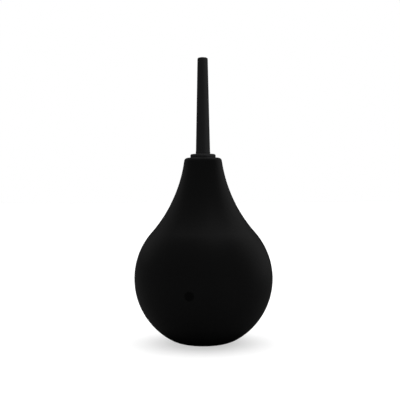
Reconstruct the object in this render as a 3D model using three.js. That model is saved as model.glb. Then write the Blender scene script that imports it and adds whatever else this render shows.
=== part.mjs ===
// A dust blower bulb: a pear-shaped rubber squeeze bulb, a slim tapered nozzle that pushes into a
// flanged plug in its neck, and a ball check valve in its foot that lets fresh air in.
// Millimetres, +Z up. The origin is the centre of the foot, on the surface that the bulb stands on.
import * as THREE from "three";

// ---- Driving dimensions ----

// Gaps between pieces that touch or slide
const pressGap = 0.15; // round the plug and the valve, which the rubber grips
const seatGap = 0.15; // under a flange or a shoulder
const slideGap = 0.1; // round the nozzle's spigot and the valve's retainer
const ballGap = 0.08; // between the ball and its seat when closed

// Bulb
const bulbRadius = 38; // the belly at its widest
const bulbHeight = 101.4; // foot to the flat top of the neck
const neckRadius = 10.3; // just under the rounded lip
const neckLean = 8; // degrees from upright, where the neck meets the lip
const lipRadius = 1.7;
const bellyWall = 2.5;
const footRingWidth = 1.3; // the flat ring that the bulb stands on
const footBlend = 20; // radius between the foot and the belly
const bossRim = 0.9; // rubber inside the foot, out from the valve's seat

// Nozzle
const nozzleLength = 52.8; // what stands above the plug
const nozzleTipRadius = 2.83;
const nozzleRootRadius = 3.9;
const nozzleTipEdge = 0.6;
const nozzleBoreTip = 1.3;
const nozzleBoreRoot = 1.6;
const footRingStep = 0.1; // how far the ring at the nozzle's root stands proud
const footRingHeight = 1.2;
const spigotShoulder = 0.8; // how much the spigot is set in from the root
const spigotTaper = 0.25; // how much its radius drops over its length
const spigotLength = 9;
const nozzleChamfer = 0.25;

// Neck plug
const plugWall = 1.65; // round the nozzle's socket
const plugFloor = 4.9; // below the nozzle's socket
const plugHoleRadius = 1.7; // air way through that floor
const plugLeadIn = 0.8; // slope at the stem's end
const flangeOverhang = 2.1;
const flangeThickness = 1.9;
const flangeEdge = 0.8; // rounded upper edge
const barbCount = 3;
const barbHeight = 0.5;
const barbSlope = 2.2; // length of a barb's sloped side

// Intake valve
const valveRecess = 0.6; // the valve's face stays this far above the ground
const intakeRadius = 1.5;
const intakeLength = 2.2; // valve's face to the start of the ball's seat
const intakeChamfer = 0.9;
const ballRadius = 2.25;
const ballAirWay = 0.6; // round the ball
const ballLift = 1.3;
const retainerLedge = 1.05;
const retainerThickness = 1.4;
const retainerRim = 0.9;
const retainerBar = 1;
const valveWall = 1.2; // round the retainer
const valveFlangeOverhang = 2.2;
const valveFlangeThickness = 1.3;
const valveFlangeChamfer = 0.3;
const beadHeight = 0.7; // snaps over the inside of the boss
const beadLength = 1.2;
const valveNose = 0.9; // slope above the bead

// Facets
const sides = 48;
const bellyStep = 8; // degrees
const neckStep = 4; // degrees
const cornerSteps = 3;

// ---- Sizes that follow from them ----

const radians = THREE.MathUtils.degToRad;
const point = (radius, height) => new THREE.Vector2(radius, height);

// Nozzle and plug
const plugTop = bulbHeight + seatGap + flangeThickness;
const nozzleFoot = plugTop + seatGap;
const nozzleTip = nozzleFoot + nozzleLength;
const footRingRadius = nozzleRootRadius + footRingStep;
const spigotTopRadius = nozzleRootRadius - spigotShoulder;
const spigotEndRadius = spigotTopRadius - spigotTaper;
const spigotEnd = nozzleFoot - spigotLength;
const socketEnd = spigotEnd - seatGap;
const plugEnd = socketEnd - plugFloor;
const plugStemRadius = spigotTopRadius + slideGap + plugWall;
const flangeRadius = plugStemRadius + flangeOverhang;
const barbPitch = (bulbHeight - plugEnd - plugLeadIn) / barbCount;
const neckBoreRadius = plugStemRadius + pressGap;

// Valve, from its face in the foot upwards
const seatStart = valveRecess + intakeLength;
const chamberRadius = ballRadius + ballAirWay;
const seatEnd = seatStart + chamberRadius - intakeRadius; // the seat is a 45 degree cone
const ballCentre = seatStart - intakeRadius + (ballRadius + ballGap) * Math.SQRT2;
const retainerFoot = ballCentre + ballRadius + ballLift + ballGap;
const retainerRadius = chamberRadius + retainerLedge;
const valveTop = retainerFoot + retainerThickness + seatGap;
const valveStemRadius = retainerRadius + slideGap + valveWall;
const valveFlangeRadius = valveStemRadius + valveFlangeOverhang;
const valveFlangeTop = valveRecess + valveFlangeThickness;
const beadEnd = valveTop - valveNose;
const beadFoot = beadEnd - beadLength;

// Foot and belly: a flat ring that blends into a sphere.
const valveHoleRadius = valveStemRadius + pressGap;
const valveSeatRadius = valveFlangeRadius + 2 * pressGap;
const bossRadius = valveSeatRadius + bossRim;
const bossTop = beadFoot - seatGap;
const footRadius = valveSeatRadius + footRingWidth;
const footCentre = point(footRadius, footBlend);
const bellyCentre = point(
  0,
  footBlend + Math.sqrt((bulbRadius - footBlend) ** 2 - footRadius ** 2),
);
const footAngle = footCentre.clone().sub(bellyCentre).angle() - 2 * Math.PI;

// The neck is one hollow curve: an arc that leaves the lip at neckLean and meets the belly smoothly.
const neckAngle = radians(neckLean);
const neckNormal = point(Math.cos(neckAngle), Math.sin(neckAngle));
const lipCentre = point(neckRadius - lipRadius * neckNormal.x, bulbHeight - lipRadius);
const neckEdge = lipCentre.clone().addScaledVector(neckNormal, lipRadius);
const edgeFromBelly = neckEdge.clone().sub(bellyCentre);
const neckCurve =
  (edgeFromBelly.lengthSq() - bulbRadius ** 2) / (2 * (bulbRadius - edgeFromBelly.dot(neckNormal)));
const neckCentre = neckEdge.clone().addScaledVector(neckNormal, neckCurve);
const shoulderAngle = neckCentre.clone().sub(bellyCentre).angle();

// ---- Helpers ----

// Points on an arc in the (radius, height) plane, both ends included. Angles are in radians.
function arc(centre, radius, from, to, steps) {
  return Array.from({ length: steps + 1 }, (_, i) => {
    const angle = from + ((to - from) * i) / steps;
    return point(centre.x + radius * Math.cos(angle), centre.y + radius * Math.sin(angle));
  });
}

// Turns a closed outline about the Z axis. The outline runs up its outer side.
function turned(name, outline, material) {
  const geometry = new THREE.LatheGeometry([...outline, outline[0]], sides);
  geometry.rotateX(Math.PI / 2);
  const mesh = new THREE.Mesh(geometry, material);
  mesh.name = name;
  return mesh;
}

// The barbed wall of the plug's stem from its top down, grown by a gap for the rubber round it.
function barbedWall(gap) {
  return Array.from({ length: barbCount }, (_, i) => {
    const barbEnd = bulbHeight - barbPitch * (i + 1);
    const barbFace = barbEnd + barbSlope + gap;
    return [
      point(plugStemRadius + gap, barbFace),
      point(plugStemRadius + barbHeight + gap, barbFace),
      point(plugStemRadius + gap, barbEnd),
    ];
  }).flat();
}

const rubber = () =>
  new THREE.MeshStandardMaterial({ color: 0x0d0d0e, roughness: 0.45, metalness: 0 });
const plastic = () =>
  new THREE.MeshStandardMaterial({ color: 0x161617, roughness: 0.35, metalness: 0 });
const steel = () =>
  new THREE.MeshStandardMaterial({ color: 0xb8bbc0, roughness: 0.2, metalness: 1 });

// ---- Pieces ----

// One-piece rubber shell: open at the neck for the plug and at the foot for the valve.
function bulb() {
  const bellySteps = Math.ceil((shoulderAngle - footAngle) / radians(bellyStep));
  const neckSteps = Math.ceil((shoulderAngle - neckAngle) / radians(neckStep));
  const outside = [
    point(valveSeatRadius, 0),
    ...arc(footCentre, footBlend, -Math.PI / 2, footAngle, cornerSteps),
    ...arc(bellyCentre, bulbRadius, footAngle, shoulderAngle, bellySteps).slice(1),
    ...arc(neckCentre, neckCurve, Math.PI + shoulderAngle, Math.PI + neckAngle, neckSteps).slice(1),
    ...arc(lipCentre, lipRadius, neckAngle, Math.PI / 2, cornerSteps).slice(1),
  ];

  // Inside the neck the wall grows from the belly's to what is left round the plug's bore.
  const boreEndFromCentre = neckCentre.clone().sub(point(neckBoreRadius, plugEnd));
  const boreEndAngle = boreEndFromCentre.angle();
  const boreEndWall = boreEndFromCentre.length() - neckCurve;
  const throat = Array.from({ length: neckSteps + 1 }, (_, i) => {
    const angle = boreEndAngle + ((shoulderAngle - boreEndAngle) * i) / neckSteps;
    const share = THREE.MathUtils.smoothstep(i, 0, neckSteps);
    const reach = neckCurve + THREE.MathUtils.lerp(boreEndWall, bellyWall, share);
    return point(neckCentre.x - reach * Math.cos(angle), neckCentre.y - reach * Math.sin(angle));
  });

  const inside = [
    point(neckBoreRadius, bulbHeight),
    ...barbedWall(pressGap),
    ...throat,
    ...arc(bellyCentre, bulbRadius - bellyWall, shoulderAngle, footAngle, bellySteps).slice(1),
    ...arc(footCentre, footBlend - bellyWall, footAngle, -Math.PI / 2, cornerSteps).slice(1),
    point(bossRadius, bellyWall),
    point(bossRadius, bossTop),
    point(valveHoleRadius, bossTop),
    point(valveHoleRadius, valveFlangeTop + seatGap),
    point(valveSeatRadius, valveFlangeTop + seatGap),
  ];
  return turned("bulb", [...outside, ...inside], rubber());
}

// Hard plug: its flange sits on the neck, its barbs hold in the neck, its socket takes the nozzle.
function neckPlug() {
  const flangeFoot = bulbHeight + seatGap;
  const underEdge = flangeEdge / 2;
  const edgeCentre = point(flangeRadius - flangeEdge, plugTop - flangeEdge);
  const outline = [
    point(plugHoleRadius, plugEnd),
    point(plugStemRadius - plugLeadIn, plugEnd),
    point(plugStemRadius, plugEnd + plugLeadIn),
    ...barbedWall(0).reverse().slice(1),
    point(plugStemRadius, flangeFoot),
    point(flangeRadius - underEdge, flangeFoot),
    point(flangeRadius, flangeFoot + underEdge),
    ...arc(edgeCentre, flangeEdge, 0, Math.PI / 2, cornerSteps),
    point(spigotTopRadius + slideGap, plugTop),
    point(spigotEndRadius + slideGap, socketEnd),
    point(plugHoleRadius, socketEnd),
  ];
  return turned("neck_plug", outline, plastic());
}

// Tapered tube with a round-edged open tip, a small ring at its root and a taper spigot.
function nozzle() {
  const edgeCentre = point(nozzleTipRadius - nozzleTipEdge, nozzleTip - nozzleTipEdge);
  const outline = [
    point(nozzleBoreRoot, spigotEnd),
    point(spigotEndRadius - nozzleChamfer, spigotEnd),
    point(spigotEndRadius, spigotEnd + nozzleChamfer),
    point(spigotTopRadius, nozzleFoot),
    point(footRingRadius - nozzleChamfer, nozzleFoot),
    point(footRingRadius, nozzleFoot + nozzleChamfer),
    point(footRingRadius, nozzleFoot + footRingHeight - footRingStep),
    point(nozzleRootRadius, nozzleFoot + footRingHeight),
    ...arc(edgeCentre, nozzleTipEdge, 0, Math.PI / 2, cornerSteps),
    point(nozzleBoreTip + nozzleChamfer, nozzleTip),
    point(nozzleBoreTip, nozzleTip - nozzleChamfer),
  ];
  return turned("nozzle", outline, plastic());
}

// Hard seat for the ball, held in the foot by its flange below and its bead above.
function valveBody() {
  const bead = beadHeight / 2;
  const outline = [
    point(intakeRadius + intakeChamfer, valveRecess),
    point(valveFlangeRadius - valveFlangeChamfer, valveRecess),
    point(valveFlangeRadius, valveRecess + valveFlangeChamfer),
    point(valveFlangeRadius, valveFlangeTop),
    point(valveStemRadius, valveFlangeTop),
    point(valveStemRadius, beadFoot),
    point(valveStemRadius + beadHeight, beadFoot + bead),
    point(valveStemRadius + beadHeight, beadEnd - bead),
    point(valveStemRadius - bead, valveTop),
    point(retainerRadius + slideGap, valveTop),
    point(retainerRadius + slideGap, retainerFoot - seatGap),
    point(chamberRadius, retainerFoot - seatGap),
    point(chamberRadius, seatEnd),
    point(intakeRadius, seatStart),
    point(intakeRadius, valveRecess + intakeChamfer),
  ];
  return turned("valve_body", outline, plastic());
}

function valveBall() {
  const geometry = new THREE.SphereGeometry(ballRadius, sides / 2, sides / 3);
  geometry.rotateX(Math.PI / 2);
  const mesh = new THREE.Mesh(geometry, steel());
  mesh.name = "valve_ball";
  mesh.position.z = ballCentre;
  return mesh;
}

// Washer with a cross of two bars: air passes its four windows, and the ball doesn't.
function valveRetainer() {
  const washer = new THREE.Shape().absarc(0, 0, retainerRadius, 0, 2 * Math.PI);
  const windowRadius = retainerRadius - retainerRim;
  const halfBar = retainerBar / 2;
  const barAngle = Math.asin(halfBar / windowRadius);
  for (let i = 0; i < 4; i++) {
    const quarter = (i * Math.PI) / 2;
    const corner = point(halfBar, halfBar).rotateAround(point(0, 0), quarter);
    const window = new THREE.Path().moveTo(corner.x, corner.y);
    window.absarc(0, 0, windowRadius, quarter + barAngle, quarter + Math.PI / 2 - barAngle);
    washer.holes.push(window);
  }
  const geometry = new THREE.ExtrudeGeometry(washer, {
    depth: retainerThickness,
    bevelEnabled: false,
    curveSegments: sides / 4,
  });
  const mesh = new THREE.Mesh(geometry, plastic());
  mesh.name = "valve_retainer";
  mesh.position.z = retainerFoot;
  return mesh;
}

// ---- Assembly ----

const blower = new THREE.Group();
blower.add(bulb(), neckPlug(), nozzle(), valveBody(), valveBall(), valveRetainer());

export default blower;
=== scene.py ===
# A dust blower bulb: black rubber bulb, plug and nozzle in its neck, ball valve in its foot.
import math

import bpy
import numpy as np
from mathutils import Matrix, Vector


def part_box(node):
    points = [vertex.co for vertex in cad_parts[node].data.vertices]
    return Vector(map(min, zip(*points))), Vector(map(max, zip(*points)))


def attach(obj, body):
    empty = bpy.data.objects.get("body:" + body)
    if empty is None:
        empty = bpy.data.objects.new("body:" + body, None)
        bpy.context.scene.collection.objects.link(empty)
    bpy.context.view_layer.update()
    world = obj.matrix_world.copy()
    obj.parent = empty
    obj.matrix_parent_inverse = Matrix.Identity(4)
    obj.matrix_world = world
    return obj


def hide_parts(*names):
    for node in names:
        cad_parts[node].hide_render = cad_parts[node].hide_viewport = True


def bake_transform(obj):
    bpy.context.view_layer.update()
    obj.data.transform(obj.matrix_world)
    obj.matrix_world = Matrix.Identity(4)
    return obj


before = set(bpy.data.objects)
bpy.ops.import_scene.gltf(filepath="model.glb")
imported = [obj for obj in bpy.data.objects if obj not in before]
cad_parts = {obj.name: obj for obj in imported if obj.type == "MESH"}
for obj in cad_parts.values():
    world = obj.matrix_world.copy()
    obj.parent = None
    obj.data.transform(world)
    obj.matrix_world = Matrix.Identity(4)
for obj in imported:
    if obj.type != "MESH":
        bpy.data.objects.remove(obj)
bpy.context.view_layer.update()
mm = 0.001  # everything is in metres, and small sizes are written as a number times mm
print("frame loaded:", len(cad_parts), "nodes")


# Outlines: arrays of (radius, height) points, which are later turned about the Z axis

def towards(angle):
    return np.array((math.cos(angle), math.sin(angle)))


# centre + radius * (cos a, sin a), with angles a from start to end, about step apart along the arc
def arcPoints(centre, radius, start, end, step):
    count = max(4, math.ceil(abs(end - start) * radius / step) + 1)
    angle = np.linspace(start, end, count)[:, None]
    return centre + radius * np.hstack((np.cos(angle), np.sin(angle)))


# Joins arcs and corners into one closed outline. A corner is (radius, height, reach), and is rounded
# over reach along both its sides: start (1-s)^2 + corner 2s(1-s) + end s^2, with s from 0 to 1.
def outlineOf(*parts):
    parts = [np.atleast_2d(np.asarray(part, float)) for part in parts]
    joined = []
    for number, part in enumerate(parts):
        if part.shape[1] == 2:
            joined.append(part)
            continue
        corner, reach = part[0, :2], part[0, 2]
        ends = parts[number - 1][-1, :2], parts[(number + 1) % len(parts)][0, :2]
        lengths = [np.linalg.norm(end - corner) for end in ends]
        reach = min(reach, 0.49 * min(lengths))
        start, end = (corner + (end - corner) / length * reach for end, length in zip(ends, lengths))
        s = np.linspace(0, 1, 7)[:, None]
        joined.append(start * (1 - s) ** 2 + corner * 2 * s * (1 - s) + end * s ** 2)
    return np.vstack(joined)


# The same closed outline with its long straight sides cut up, so that none is longer than step
def cutUp(outline, step):
    side = np.roll(outline, -1, 0) - outline
    count = np.maximum(1, np.ceil(np.linalg.norm(side, axis=1) / step)).astype(int)
    first = np.repeat(np.cumsum(count) - count, count)
    share = (np.arange(count.sum()) - first) / np.repeat(count, count)
    return np.repeat(outline, count, 0) + np.repeat(side, count, 0) * share[:, None]


# Even angles right round, and any closer ones that a detail needs
def anglesRound(count, *closer):
    even = np.linspace(0, 2 * math.pi, count, endpoint=False)
    angles = np.sort(np.mod(np.concatenate((even, *closer)), 2 * math.pi))
    return angles[np.append(np.diff(angles) > 1e-4, True)]


# Offsets either side of a line of detail, growing from nearest to furthest
def bunch(nearest, furthest, count):
    offsets = np.geomspace(nearest, furthest, count)
    return np.concatenate((-offsets, (0.0,), offsets))


# A mesh piece from a grid of points, rows by columns, where both ways round close on themselves
def gridPiece(name, grid):
    rows, columns = grid.shape[:2]
    i, j = np.meshgrid(np.arange(rows), np.arange(columns), indexing="ij")
    up, along = (i + 1) % rows, (j + 1) % columns
    faces = np.stack((i * columns + j, i * columns + along, up * columns + along, up * columns + j), -1)
    mesh = bpy.data.meshes.new(name)
    mesh.vertices.add(rows * columns)
    mesh.vertices.foreach_set("co", grid.astype(np.float32).ravel())
    mesh.loops.add(faces.size)
    mesh.loops.foreach_set("vertex_index", faces.astype(np.int32).ravel())
    mesh.polygons.add(rows * columns)
    mesh.polygons.foreach_set("loop_start", np.arange(0, faces.size, 4, dtype=np.int32))
    mesh.polygons.foreach_set("use_smooth", np.ones(rows * columns, bool))
    mesh.update(calc_edges=True)
    mesh.validate()
    piece = bpy.data.objects.new(name, mesh)
    bpy.context.scene.collection.objects.link(piece)
    return piece


# Turns a closed outline about Z, so a point is (r cos a, r sin a, z), moved out square to the
# outline by relief, which is a number for each point and angle
def turnedPiece(name, outline, angles, relief=0.0):
    along = np.roll(outline, -1, 0) - np.roll(outline, 1, 0)
    along /= np.linalg.norm(along, axis=1, keepdims=True)
    relief = relief + np.zeros((len(outline), len(angles)))
    r = outline[:, :1] + along[:, 1:] * relief
    z = outline[:, 1:] - along[:, :1] * relief
    return gridPiece(name, np.stack((r * np.cos(angles), r * np.sin(angles), z), -1))


# A number at each point of a piece, for its material to read
def mark(piece, name, values):
    layer = piece.data.attributes.new(name, "FLOAT", "POINT")
    layer.data.foreach_set("value", values.astype(np.float32).ravel())


# 0 below low, 1 above high, 3t^2 - 2t^3 in between
def smooth(value, low, high):
    t = np.clip((value - low) / (high - low), 0, 1)
    return t * t * (3 - 2 * t)


# Materials: a Field is a number all over a surface, and arithmetic on it adds Math nodes

class Field:
    def __init__(self, tree, socket):
        self.tree, self.socket = tree, socket

    def join(self, operation, first, second):
        node = self.tree.nodes.new("ShaderNodeMath")
        node.operation = operation
        for number, value in enumerate((first, second)):
            if isinstance(value, Field):
                self.tree.links.new(value.socket, node.inputs[number])
            else:
                node.inputs[number].default_value = value
        return Field(self.tree, node.outputs[0])

    def __add__(self, other):
        return self.join("ADD", self, other)

    def __radd__(self, other):
        return self.join("ADD", other, self)

    def __sub__(self, other):
        return self.join("SUBTRACT", self, other)

    def __rsub__(self, other):
        return self.join("SUBTRACT", other, self)

    def __mul__(self, other):
        return self.join("MULTIPLY", self, other)

    def __rmul__(self, other):
        return self.join("MULTIPLY", other, self)


class Nodes:
    def __init__(self, owner):
        owner.use_nodes = True
        self.tree = owner.node_tree

    # Any node but Math: its type, its settings, which are set first, then values or links of its sockets
    def node(self, kind, settings=None, inputs=None):
        node = self.tree.nodes.new(kind)
        for setting, value in (settings or {}).items():
            setattr(node, setting, value)
        for socket, value in (inputs or {}).items():
            value = getattr(value, "socket", value)
            if isinstance(value, bpy.types.NodeSocket):
                self.tree.links.new(value, node.inputs[socket])
            else:
                node.inputs[socket].default_value = value
        return node

    # 0 where value is below low, 1 where it is above high, smooth in between
    def between(self, value, low, high):
        settings = {"interpolation_type": "SMOOTHSTEP"}
        inputs = {"Value": value, "From Min": low, "From Max": high}
        return Field(self.tree, self.node("ShaderNodeMapRange", settings, inputs).outputs[0])


class Finish(Nodes):
    def __init__(self, name, constants):
        self.material = bpy.data.materials.new(name)
        super().__init__(self.material)
        self.shader = self.tree.nodes["Principled BSDF"]
        for socket, value in constants.items():
            self.shader.inputs[socket].default_value = value
        self.place = self.node("ShaderNodeTexCoord").outputs["Object"]

    # Noise from about 0 to 1 whose features are size across, drawn out by stretch along X, Y and Z
    def noise(self, size, detail=2.0, stretch=(1, 1, 1)):
        scale = [1 / factor for factor in stretch]
        placed = self.node("ShaderNodeMapping", None, {"Vector": self.place, "Scale": scale})
        inputs = {"Vector": placed.outputs[0], "Scale": 1 / size, "Detail": detail}
        return Field(self.tree, self.node("ShaderNodeTexNoise", None, inputs).outputs["Fac"])

    def marked(self, name):
        node = self.node("ShaderNodeAttribute", {"attribute_name": name})
        return Field(self.tree, node.outputs["Fac"])

    def mix(self, share, first, second):
        inputs = {0: share, 6: first, 7: second}
        return self.node("ShaderNodeMix", {"data_type": "RGBA"}, inputs).outputs[2]

    def use(self, socket, value):
        self.tree.links.new(getattr(value, "socket", value), self.shader.inputs[socket])

    # Lays bumps over each other: each is (heights from 0 to 1, their depth in metres)
    def bumps(self, *layers):
        last = None
        for heights, depth in layers:
            inputs = {"Height": heights, "Distance": depth}
            if last is not None:
                inputs["Normal"] = last
            last = self.node("ShaderNodeBump", None, inputs).outputs[0]
        self.use("Normal", last)


def grey(level, blue=1.03):
    return (level, level, level * blue, 1)


def giveFinish(piece, finish):
    piece.data.materials.clear()
    piece.data.materials.append(finish.material)


# Bulb: a sphere, blended into a flat foot ring below and into a hollow curve up to the neck's lip

bulbLow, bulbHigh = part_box("bulb")
plugLow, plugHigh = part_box("neck_plug")
nozzleLow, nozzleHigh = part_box("nozzle")
valveLow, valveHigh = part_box("valve_body")

bulbSettings = {
    "neckRadius": 10.3 * mm,  # just under the lip
    "neckLean": math.radians(8),  # from upright, at the same place
    "lipRadius": 1.7 * mm,
    "wall": 2.5 * mm,
    "footRingWidth": 1.3 * mm,
    "footBlend": 20 * mm,
    "bossRim": 0.9 * mm,
    "bossTop": 7.5 * mm,
    "pressGap": 0.15 * mm,
    "seatHeight": 2.05 * mm,  # what the valve's flange stops against
    "edge": 0.3 * mm,
    "step": 1.1 * mm,
    "sides": 180,
    "seamHeight": 0.07 * mm,  # the mould's parting line
    "seamWidth": 0.2 * mm,
    "waves": 0.02 * mm,  # how far the rubber is out of true
    "wavesRound": 3,
    "wavesUp": (90, 140),  # radians a metre, of the two waves that are multiplied
    "wavesStart": 8 * mm,
    "wavesEnd": 20 * mm,
    "roundelRadius": 2.3 * mm,  # a blank disc sunk in the belly
    "roundelDepth": 0.2 * mm,
    "roundelEdge": 0.3 * mm,
    "roundelPlace": (-7.4 * mm, 30 * mm),  # X and Z, on the front
    "lipHighlightFade": 0.6 * mm,  # from the flange out to the full painted highlight on the lip
    "seamFade": 2 * mm,  # height above the foot over which parting line and waves grow in
    "foldStart": 20 * mm,  # the real bulb's rubber gives between these heights when it is squeezed
    "foldEnd": 86 * mm,
    "black": 0.0105,
    "worn": 0.018,
    # colour of the lip's painted highlight
    "rubAndHighlight": 0.035,
    # painted shade: colour of the sunk roundel, darker than the rubber
    "roundelPaintedShade": 0.002,
    "shine": 0.4,
}


# Radii and heights that the bulb's outline and its details share
def bulbShape(s, plug, valve):
    seat = valveHigh.x + 2 * s["pressGap"]
    foot, radius = seat + s["footRingWidth"], bulbHigh.x - s["seamHeight"] - s["waves"]
    return {
        "seat": seat,
        "foot": np.array((foot, s["footBlend"])),
        "radius": radius,
        "belly": np.array((0, s["footBlend"] + math.sqrt((radius - s["footBlend"]) ** 2 - foot ** 2))),
        "bore": plug["stemRadius"] + s["pressGap"],
        "hole": valve["stemRadius"] + s["pressGap"],
    }


# Corners of the plug's barbs from the lowest up, grown by a gap for the rubber round them
def barbedWall(plug, gap):
    stem, pitch = plug["stemRadius"] + gap, (bulbHigh.z - plugLow.z - plug["leadIn"]) / plug["barbs"]
    corners = []
    for number in reversed(range(plug["barbs"])):
        end = bulbHigh.z - pitch * (number + 1)
        face = end + plug["barbSlope"] + gap
        corners += [(stem, end), (stem + plug["barbHeight"], face), (stem, face)]
    return [(*corner, plug["edge"]) for corner in corners]


# The bulb's closed outline, and how many of its points are on the outside
def bulbOutline(s, shape, plug):
    belly, foot, radius, bore = (shape[name] for name in ("belly", "foot", "radius", "bore"))
    lean, lipRadius = s["neckLean"], s["lipRadius"]
    lip = np.array((s["neckRadius"] - lipRadius * math.cos(lean), bulbHigh.z - lipRadius))
    # The neck's circle touches the lip at its lean, and touches the belly's circle from outside.
    edge = lip + lipRadius * towards(lean)
    reach = edge - belly
    bend = (reach @ reach - radius ** 2) / (2 * (radius - reach @ towards(lean)))
    neck = edge + bend * towards(lean)
    shoulder = math.atan2(*(neck - belly)[::-1])
    footAngle = math.atan2(*(foot - belly)[::-1])
    roundelAngle = math.asin((s["roundelPlace"][1] - belly[1]) / radius)
    roundelReach = (s["roundelRadius"] + 2 * s["roundelEdge"]) / radius
    stops = footAngle, roundelAngle - roundelReach, roundelAngle + roundelReach, shoulder
    steps = s["step"], s["roundelEdge"] / 3, s["step"]
    outside = [
        arcPoints(foot, s["footBlend"], -math.pi / 2, footAngle, s["step"]),
        *(
            arcPoints(belly, radius, start, end, step)[1:]
            for start, end, step in zip(stops, stops[1:], steps)
        ),
        arcPoints(neck, bend, math.pi + shoulder, math.pi + lean, s["step"])[1:],
        arcPoints(lip, lipRadius, lean, math.pi / 2, s["step"] / 5)[1:],
    ]
    # Inside, the wall keeps its thickness up to the throat, and grows there to meet the plug's bore.
    boreEnd = neck - (bore, plugLow.z)
    share = np.linspace(0, 1, 24)[:, None]
    angle = math.atan2(*boreEnd[::-1]) * (1 - share) + shoulder * share
    depth = np.linalg.norm(boreEnd) * (1 - smooth(share, 0, 1)) + (bend + s["wall"]) * smooth(share, 0, 1)
    throat = neck - depth * np.hstack((np.cos(angle), np.sin(angle)))
    boss = shape["seat"] + s["bossRim"]
    outline = outlineOf(
        *outside,
        (bore, bulbHigh.z, s["edge"]),
        *reversed(barbedWall(plug, s["pressGap"])),
        throat,
        arcPoints(belly, radius - s["wall"], shoulder, footAngle, 2 * s["step"])[1:],
        arcPoints(foot, s["footBlend"] - s["wall"], footAngle, -math.pi / 2, s["step"])[1:],
        (boss, s["wall"], s["edge"]),
        (boss, s["bossTop"], s["edge"]),
        (shape["hole"], s["bossTop"], s["edge"]),
        (shape["hole"], s["seatHeight"], s["edge"] / 3),
        (shape["seat"], s["seatHeight"], s["edge"] / 3),
        (shape["seat"], 0, s["edge"]),
    )
    return cutUp(outline, 2 * s["step"]), sum(len(part) for part in outside)


# Relief: a ridge h exp(-(d/w)^2) along the mould's parting line, where d is the distance from it,
# a sunk roundel with a smooth edge, and waves round and up. Ridge and waves fade out at the foot
# and at the lip.
def bulbRelief(s, outline, outsideCount, angles):
    r, z = outline[:, :1], outline[:, 1:]
    outer = np.arange(len(outline))[:, None] < outsideCount
    clear = smooth(z, 0, s["seamFade"]) * smooth(-z, -bulbHigh.z, s["lipRadius"] - bulbHigh.z)
    seam = np.exp(-((r * np.sin(angles) / s["seamWidth"]) ** 2)) * clear * outer
    fromRoundel = np.hypot(r * np.cos(angles) - s["roundelPlace"][0], z - s["roundelPlace"][1])
    inFront = outer & (np.sin(angles) < 0)
    roundel = smooth(-fromRoundel, -s["roundelRadius"] - s["roundelEdge"], -s["roundelRadius"]) * inFront
    lip = smooth(fromRoundel, s["roundelRadius"] - s["roundelEdge"], s["roundelRadius"])
    twist, climb = s["wavesUp"]
    waves = np.sin(s["wavesRound"] * angles + twist * z) * np.sin(climb * z + 1) * clear
    waves = waves * smooth(z, s["wavesStart"], s["wavesEnd"])
    relief = s["seamHeight"] * seam - s["roundelDepth"] * roundel + s["waves"] * waves * outer
    # Painted highlight: the lip's rounded top, outside the flange, is made lighter where light from above
    # catches it
    lipHighlight = smooth(z, bulbHigh.z - s["lipRadius"], bulbHigh.z - 0.4 * s["lipRadius"]) * outer
    lipHighlight = lipHighlight * smooth(r, plugHigh.x, plugHigh.x + s["lipHighlightFade"])  # under the flange there is no painted highlight
    return relief, {"seam": seam, "lipHighlight": lipHighlight + 0 * seam, "roundel": roundel, "ring": roundel * lip}


def bulbRubber(s):
    finish = Finish("bulbRubber", {"Specular IOR Level": s["shine"]})
    clouds = finish.noise(22 * mm, 3)
    handled = finish.between(finish.noise(34 * mm, 4, (1, 1, 2.2)), 0.45, 0.72)
    mottle = finish.noise(2.2 * mm, 3)
    grain = finish.noise(0.45 * mm, 2)
    skin = finish.noise(1.6 * mm, 1)
    seam, lipHighlight, roundel, ring = (finish.marked(name) for name in ("seam", "lipHighlight", "roundel", "ring"))
    worn = 0.35 * clouds + 0.35 * handled + 0.2 * mottle + 0.4 * seam
    rubber = finish.mix(worn, grey(s["black"]), grey(s["worn"]))
    # painted highlight on the lip
    rubber = finish.mix(lipHighlight, rubber, grey(s["rubAndHighlight"]))
    # painted shade: the sunk roundel is darker than the rubber round it
    finish.use("Base Color", finish.mix(roundel, rubber, grey(s["roundelPaintedShade"])))
    roughness = 0.31 + 0.1 * clouds + 0.08 * handled + 0.05 * grain
    finish.use("Roughness", roughness + 0.25 * roundel - 0.3 * ring)
    finish.bumps((skin, 0.03 * mm), (grain, 0.012 * mm))
    return finish


def makeBulb(s, plug, valve):
    shape = bulbShape(s, plug, valve)
    outline, outsideCount = bulbOutline(s, shape, plug)
    x, z = s["roundelPlace"]
    across = math.sqrt(shape["radius"] ** 2 - (z - shape["belly"][1]) ** 2)
    reach = (s["roundelRadius"] + 2 * s["roundelEdge"]) / across
    closer = np.arange(-reach, reach, s["roundelEdge"] / 3 / across) - math.acos(x / across)
    seams = bunch(0.002, 0.07, 9)
    angles = anglesRound(s["sides"], seams, math.pi + seams, closer)
    relief, marks = bulbRelief(s, outline, outsideCount, angles)
    bulb = turnedPiece("bulb_shell", outline, angles, relief)
    for name, values in marks.items():
        mark(bulb, name, values)
    giveFinish(bulb, bulbRubber(s))
    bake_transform(bulb)
    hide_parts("bulb")


# Neck plug: a flange on the neck, three barbs down in it, and a socket for the nozzle

plugSettings = {
    "stemRadius": 4.85 * mm,
    "holeRadius": 1.7 * mm,
    "leadIn": 0.8 * mm,
    "flangeThickness": 1.9 * mm,
    "flangeEdge": 0.8 * mm,
    "underEdge": 0.4 * mm,
    "barbs": 3,
    "barbHeight": 0.5 * mm,
    "barbSlope": 2.2 * mm,
    "socketTopRadius": 3.2 * mm,
    "socketEndRadius": 2.95 * mm,
    "socketFloor": 4.9 * mm,
    "edge": 0.15 * mm,
    "step": 0.8 * mm,
    "sides": 144,
    "black": 0.028,
    "worn": 0.11,
    "shine": 0.8,
}


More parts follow.
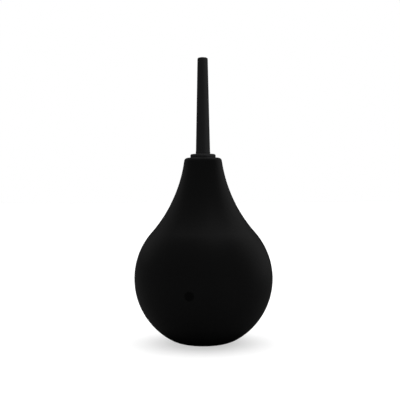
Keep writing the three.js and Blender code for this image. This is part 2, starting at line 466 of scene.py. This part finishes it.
def plugOutline(s):
    flangeFoot = plugHigh.z - s["flangeThickness"]
    socketEnd = plugLow.z + s["socketFloor"]
    return outlineOf(
        (s["holeRadius"], plugLow.z, s["edge"]),
        (s["stemRadius"] - s["leadIn"], plugLow.z, s["edge"]),
        *barbedWall(s, 0),
        (s["stemRadius"], flangeFoot, s["edge"]),
        (plugHigh.x, flangeFoot, s["underEdge"]),
        (plugHigh.x, plugHigh.z, s["flangeEdge"]),
        (s["socketTopRadius"], plugHigh.z, s["edge"]),
        (s["socketEndRadius"], socketEnd, s["edge"]),
        (s["holeRadius"], socketEnd, s["edge"]),
    )


# Satin moulded plastic: a fine grain, long faint flow marks, and edges a little lighter (wear and painted
# highlight)
def mouldedPlastic(name, s, stretch):
    finish = Finish(name, {"Specular IOR Level": s["shine"]})
    flow = finish.noise(1.5 * mm, 3, stretch)
    grain = finish.noise(0.28 * mm, 2)
    clouds = finish.noise(9 * mm, 3)
    # Rounded edges, most of all those facing up, are lighter: partly rubbed wear, partly a painted
    # highlight
    rubAndHighlight = finish.marked("edge") * finish.between(finish.noise(1.2 * mm, 4), 0.3, 0.65)
    shade = 0.2 * flow + 0.15 * clouds + 0.9 * rubAndHighlight
    finish.use("Base Color", finish.mix(shade, grey(s["black"]), grey(s["worn"])))
    finish.use("Roughness", 0.42 + 0.1 * flow + 0.07 * clouds + 0.06 * grain - 0.05 * rubAndHighlight)
    finish.bumps((flow, 0.008 * mm), (grain, 0.008 * mm))
    return finish


# How sharply the outline turns at each point, from 0 where it is flat to 1 on a rounded edge, and
# less where it faces down, because nothing rubs it there. It lightens edges as wear and painted
# highlight.
def edgeRubAndHighlight(outline, angles):
    forward = np.roll(outline, -1, 0) - outline
    heading = np.arctan2(forward[:, 1], forward[:, 0])
    turn = np.mod(heading - np.roll(heading, 1) + math.pi, 2 * math.pi) - math.pi
    outward = np.clip(turn, 0, None) * 3
    share = np.maximum(outward, np.maximum(np.roll(outward, 1), np.roll(outward, -1)) * 0.5)
    share = np.clip(share, 0, 1) * np.clip(0.6 - np.cos(heading), 0, 1)
    return share[:, None] + np.zeros(len(angles))


def makeTurned(name, s, outline, relief=0.0):
    outline = cutUp(outline, s["step"])
    angles = anglesRound(s["sides"])
    piece = turnedPiece(name, outline, angles, relief)
    mark(piece, "edge", edgeRubAndHighlight(outline, angles))
    return piece


def makePlug(s):
    plug = makeTurned("plug_shell", s, plugOutline(s))
    giveFinish(plug, mouldedPlastic("plugPlastic", s, (1, 1, 1)))
    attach(plug, "neck")
    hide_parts("neck_plug")
    return plug


# Nozzle: a tapered tube with a round open tip, a low ring at its root and a spigot below

nozzleSettings = {
    "tipRadius": 2.83 * mm,
    "rootRadius": 3.9 * mm,
    "tipEdge": 0.75 * mm,
    "ringHeight": 1.2 * mm,
    "ringEdge": 0.25 * mm,
    "spigotLength": 9 * mm,
    "spigotTopRadius": 3.1 * mm,
    "spigotEndRadius": 2.85 * mm,
    "boreTip": 1.3 * mm,
    "boreRoot": 1.6 * mm,
    "boreEdge": 0.3 * mm,
    "edge": 0.12 * mm,
    "step": 1.2 * mm,
    "sides": 128,
    "black": 0.028,
    "worn": 0.085,
    "shine": 0.8,
}


def nozzleOutline(s):
    root = nozzleLow.z + s["spigotLength"]
    ringTop = root + s["ringHeight"]
    return outlineOf(
        (s["boreRoot"], nozzleLow.z, s["edge"]),
        (s["spigotEndRadius"], nozzleLow.z, s["ringEdge"]),
        (s["spigotTopRadius"], root, s["edge"]),
        (nozzleHigh.x, root, s["ringEdge"]),
        (nozzleHigh.x, ringTop, s["edge"]),
        (s["rootRadius"], ringTop, s["edge"]),
        (s["tipRadius"], nozzleHigh.z, s["tipEdge"]),
        (s["boreTip"], nozzleHigh.z, s["boreEdge"]),
    )


def makeNozzle(s):
    nozzle = makeTurned("nozzle_tube", s, nozzleOutline(s))
    giveFinish(nozzle, mouldedPlastic("nozzlePlastic", s, (1, 1, 14)))
    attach(nozzle, "nozzle")
    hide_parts("nozzle")
    return nozzle


# Intake valve: a hard seat in the foot, a steel ball, and the washer that keeps the ball in

valveSettings = {
    "stemRadius": 5.2 * mm,
    "flangeThickness": 1.3 * mm,
    "flangeEdge": 0.3 * mm,
    "intakeRadius": 1.5 * mm,
    "intakeLength": 2.2 * mm,
    "intakeChamfer": 0.9 * mm,
    "chamberRadius": 2.85 * mm,
    "retainerRadius": 4.0 * mm,
    "ledgeDrop": 0.15 * mm,  # from the washer's foot to the ledge that it stands over
    "beadHeight": 0.7 * mm,
    "beadLength": 1.2 * mm,
    "nose": 0.9 * mm,
    "edge": 0.12 * mm,
    "step": 0.7 * mm,
    "sides": 120,
    "black": 0.016,
    "worn": 0.03,
    "shine": 0.4,
    "ballRings": 48,
    "ballSides": 96,
}


def valveOutline(s):
    foot, top = valveLow.z, valveHigh.z
    flangeTop = foot + s["flangeThickness"]
    seatStart = foot + s["intakeLength"]
    seatEnd = seatStart + s["chamberRadius"] - s["intakeRadius"]
    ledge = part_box("valve_retainer")[0].z - s["ledgeDrop"]
    beadEnd = top - s["nose"]
    beadFoot = beadEnd - s["beadLength"]
    bead = s["stemRadius"] + s["beadHeight"]
    slope = s["beadHeight"] / 2
    return outlineOf(
        (s["intakeRadius"] + s["intakeChamfer"], foot, s["edge"]),
        (valveHigh.x, foot, s["flangeEdge"]),
        (valveHigh.x, flangeTop, s["edge"]),
        (s["stemRadius"], flangeTop, s["edge"]),
        (s["stemRadius"], beadFoot, s["edge"]),
        (bead, beadFoot + slope, s["edge"]),
        (bead, beadEnd - slope, s["edge"]),
        (s["stemRadius"] - slope, top, s["edge"]),
        (s["retainerRadius"], top, s["edge"]),
        (s["retainerRadius"], ledge, s["edge"]),
        (s["chamberRadius"], ledge, s["edge"]),
        (s["chamberRadius"], seatEnd, s["edge"]),
        (s["intakeRadius"], seatStart, s["edge"]),
        (s["intakeRadius"], foot + s["intakeChamfer"], s["edge"]),
    )


# A sphere as rings of latitude: centre + R (sin v cos u, sin v sin u, cos v), with one point at each pole
def makeBall(s):
    low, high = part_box("valve_ball")
    centre, radius = (low + high) / 2, (high.z - low.z) / 2
    rings, sides = s["ballRings"], s["ballSides"]
    v = np.linspace(0, math.pi, rings + 1)[1:-1, None]
    u = np.linspace(0, 2 * math.pi, sides, endpoint=False)
    ring = np.stack((np.sin(v) * np.cos(u), np.sin(v) * np.sin(u), np.cos(v) + 0 * u), -1).reshape(-1, 3)
    points = np.vstack((ring, (0, 0, 1), (0, 0, -1))) * radius + np.array(centre)
    i, j = np.meshgrid(np.arange(rings - 2), np.arange(sides), indexing="ij")
    after = (j + 1) % sides
    quads = np.stack((i * sides + j, (i + 1) * sides + j, (i + 1) * sides + after, i * sides + after), -1)
    j, after = j[0], after[0]
    last = (rings - 2) * sides
    top = np.stack((0 * j + len(ring), j, after), -1)
    bottom = np.stack((0 * j + len(ring) + 1, last + after, last + j), -1)
    mesh = bpy.data.meshes.new("check_ball")
    faces = [*quads.reshape(-1, 4).tolist(), *top.tolist(), *bottom.tolist()]
    mesh.from_pydata(points.tolist(), [], faces)
    mesh.shade_smooth()
    ball = bpy.data.objects.new("check_ball", mesh)
    bpy.context.scene.collection.objects.link(ball)
    finish = Finish("ballSteel", {"Metallic": 1.0})
    marks = finish.between(finish.noise(0.5 * mm, 4, (1, 3, 1)), 0.5, 0.75)
    finish.use("Base Color", finish.mix(marks, grey(0.7), grey(0.56)))
    finish.use("Roughness", 0.08 + 0.14 * marks)
    finish.bumps((marks, 0.002 * mm))
    giveFinish(ball, finish)
    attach(ball, "ball")
    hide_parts("valve_ball")


def makeValve(s):
    valve = makeTurned("valve_seat", s, valveOutline(s))
    plastic = mouldedPlastic("valvePlastic", s, (1, 1, 1))
    giveFinish(valve, plastic)
    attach(valve, "bulb")
    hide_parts("valve_body")
    washerPlastic = mouldedPlastic("washerPlastic", s, (1, 1, 1))
    giveFinish(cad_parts["valve_retainer"], washerPlastic)
    makeBall(s)


makeBulb(bulbSettings, plugSettings, valveSettings)
print("bulb made")
plastics = [makePlug(plugSettings), makeNozzle(nozzleSettings)]
print("plug and nozzle made")
makeValve(valveSettings)
print("valve made")


# Studio: a pale floor, soft boxes above and to the sides, and the camera

studioSettings = {
    "floorSize": 30.0,
    "floorShade": 0.82,
    "floorPaintedShadow": 0.1 * mm,  # too small to show
    "floorLight": 0.3,  # falls on the floor only
    "floorFill": 3.7,  # the same, but it casts no shadow
    "backgroundShade": 1.0,
    "cardShade": 0.33,
    # radius of the card's painted contact shadow
    "cardPaintedShadow": 34 * mm,
    "cardHeight": -0.1 * mm,
    "fill": 0.2,  # light from all round
    "reflected": 0.055,  # the same, as it shows in the object's gloss
    "boxes": {  # place, what it points at, width, height, watts
        "topBox": ((0.1, 0.25, 1.1), (0, 0.1, 0.06), 1.4, 1.2, 0.95),
        "rightBox": ((1.0, 0.5, 0.45), (0, 0, 0.06), 1.1, 1.3, 0.6),
        "leftBox": ((-0.85, 0.65, 0.65), (0, 0, 0.06), 0.9, 0.8, 0.15),
        "plasticBox": ((0.9, -0.45, 0.3), (0, 0, 0.12), 0.9, 0.9, 0.55),  # on plug and nozzle only
    },
}

cameraSettings = {
    "lens": 65.5,
    "distance": 400 * mm,
    "roll": math.radians(-0.24),
    "target": (-1.75 * mm, 0, 78.3 * mm),
}


def pointAt(thing, place, target):
    thing.location = place
    away = Vector(place) - Vector(target)
    thing.rotation_euler = away.to_track_quat("Z", "Y").to_euler()


# A light, which falls on everything unless it is given the pieces it falls on
def addLight(name, kind, place, target, settings, pieces=None):
    light = bpy.data.lights.new(name, kind)
    for setting, value in settings.items():
        setattr(light, setting, value)
    lamp = bpy.data.objects.new(name, light)
    bpy.context.scene.collection.objects.link(lamp)
    lamp.visible_camera = False
    pointAt(lamp, place, target)
    if pieces:
        only = bpy.data.collections.new(name + "Only")
        for piece in pieces:
            only.objects.link(piece)
        lamp.light_linking.receiver_collection = only
    return lamp


# A level sheet of paper that only some rays meet. It has a painted shadow: it is black out to 0.4 of
# the radius shadow, and has its full shade from shadow outward.
def makeSheet(name, size, height, shade, shadow, met, passed):
    bpy.ops.mesh.primitive_plane_add(size=size, location=(0, 0, height))
    sheet = bpy.context.object
    sheet.name = name
    for kind, value in (*((kind, True) for kind in met), *((kind, False) for kind in passed)):
        setattr(sheet, "visible_" + kind, value)
    paper = Finish(name + "Paper", {"Roughness": 0.9, "Specular IOR Level": 0.1})
    fromMiddle = paper.node("ShaderNodeVectorMath", {"operation": "LENGTH"}, {0: paper.place})
    # painted contact shadow: black in the middle, the sheet's full shade outside
    clearOfPaintedShadow = paper.between(fromMiddle.outputs["Value"], shadow * 0.4, shadow)
    tone = (shade + 0.01 * paper.noise(0.4)) * clearOfPaintedShadow
    paper.use("Base Color", paper.mix(tone, grey(0.0), grey(1.0, 1.0)))
    sheet.data.materials.append(paper.material)
    return sheet


# The floor that is seen has lights of its own, so that it is white beside a black object. The
# object meets a grey card in its place, whose black middle is a painted contact shadow.
def makeFloor(s):
    size, seen, mirrored = s["floorSize"], ("camera",), ("diffuse", "glossy")
    floor = makeSheet("floor", size, 0, s["floorShade"], s["floorPaintedShadow"], seen, mirrored)
    hidden = ("camera", "shadow")
    makeSheet("card", size, s["cardHeight"], s["cardShade"], s["cardPaintedShadow"], mirrored, hidden)
    suns = ("floorSun", s["floorLight"], True), ("floorFill", s["floorFill"], False)
    for name, strength, shadow in suns:
        settings = {"energy": strength, "angle": 2.0, "use_shadow": shadow}
        addLight(name, "SUN", (0, 0, 2), (0, 0, 0), settings, [floor])


# The background is white where the camera looks at it, and dim light from all round otherwise.
def makeWorld(s):
    world = bpy.data.worlds.new("studio")
    bpy.context.scene.world = world
    nodes = Nodes(world)
    rays = nodes.node("ShaderNodeLightPath").outputs
    seen, mirrored = (Field(nodes.tree, rays[name]) for name in ("Is Camera Ray", "Is Glossy Ray"))
    strength = seen * s["backgroundShade"] + mirrored * s["reflected"] + (1 - seen - mirrored) * s["fill"]
    background = nodes.tree.nodes["Background"]
    background.inputs["Color"].default_value = grey(1.0, 1.0)
    nodes.tree.links.new(strength.socket, background.inputs["Strength"])


def makeStudio(s, plastics):
    makeFloor(s)
    makeWorld(s)
    for name, (place, target, width, height, watts) in s["boxes"].items():
        settings = {"shape": "RECTANGLE", "size": width, "size_y": height, "energy": watts}
        addLight(name, "AREA", place, target, settings, plastics if name == "plasticBox" else None)


def makeCamera(s):
    data = bpy.data.cameras.new("camera")
    data.lens = s["lens"]
    camera = bpy.data.objects.new("camera", data)
    bpy.context.scene.collection.objects.link(camera)
    pointAt(camera, Vector(s["target"]) - Vector((0, s["distance"], 0)), s["target"])
    turned = camera.rotation_euler.to_matrix() @ Matrix.Rotation(s["roll"], 3, "Z")
    camera.rotation_euler = turned.to_euler()
    bpy.context.scene.camera = camera


makeStudio(studioSettings, plastics)
makeCamera(cameraSettings)
bpy.context.scene.view_settings.view_transform = "Standard"
print("studio and camera ready")
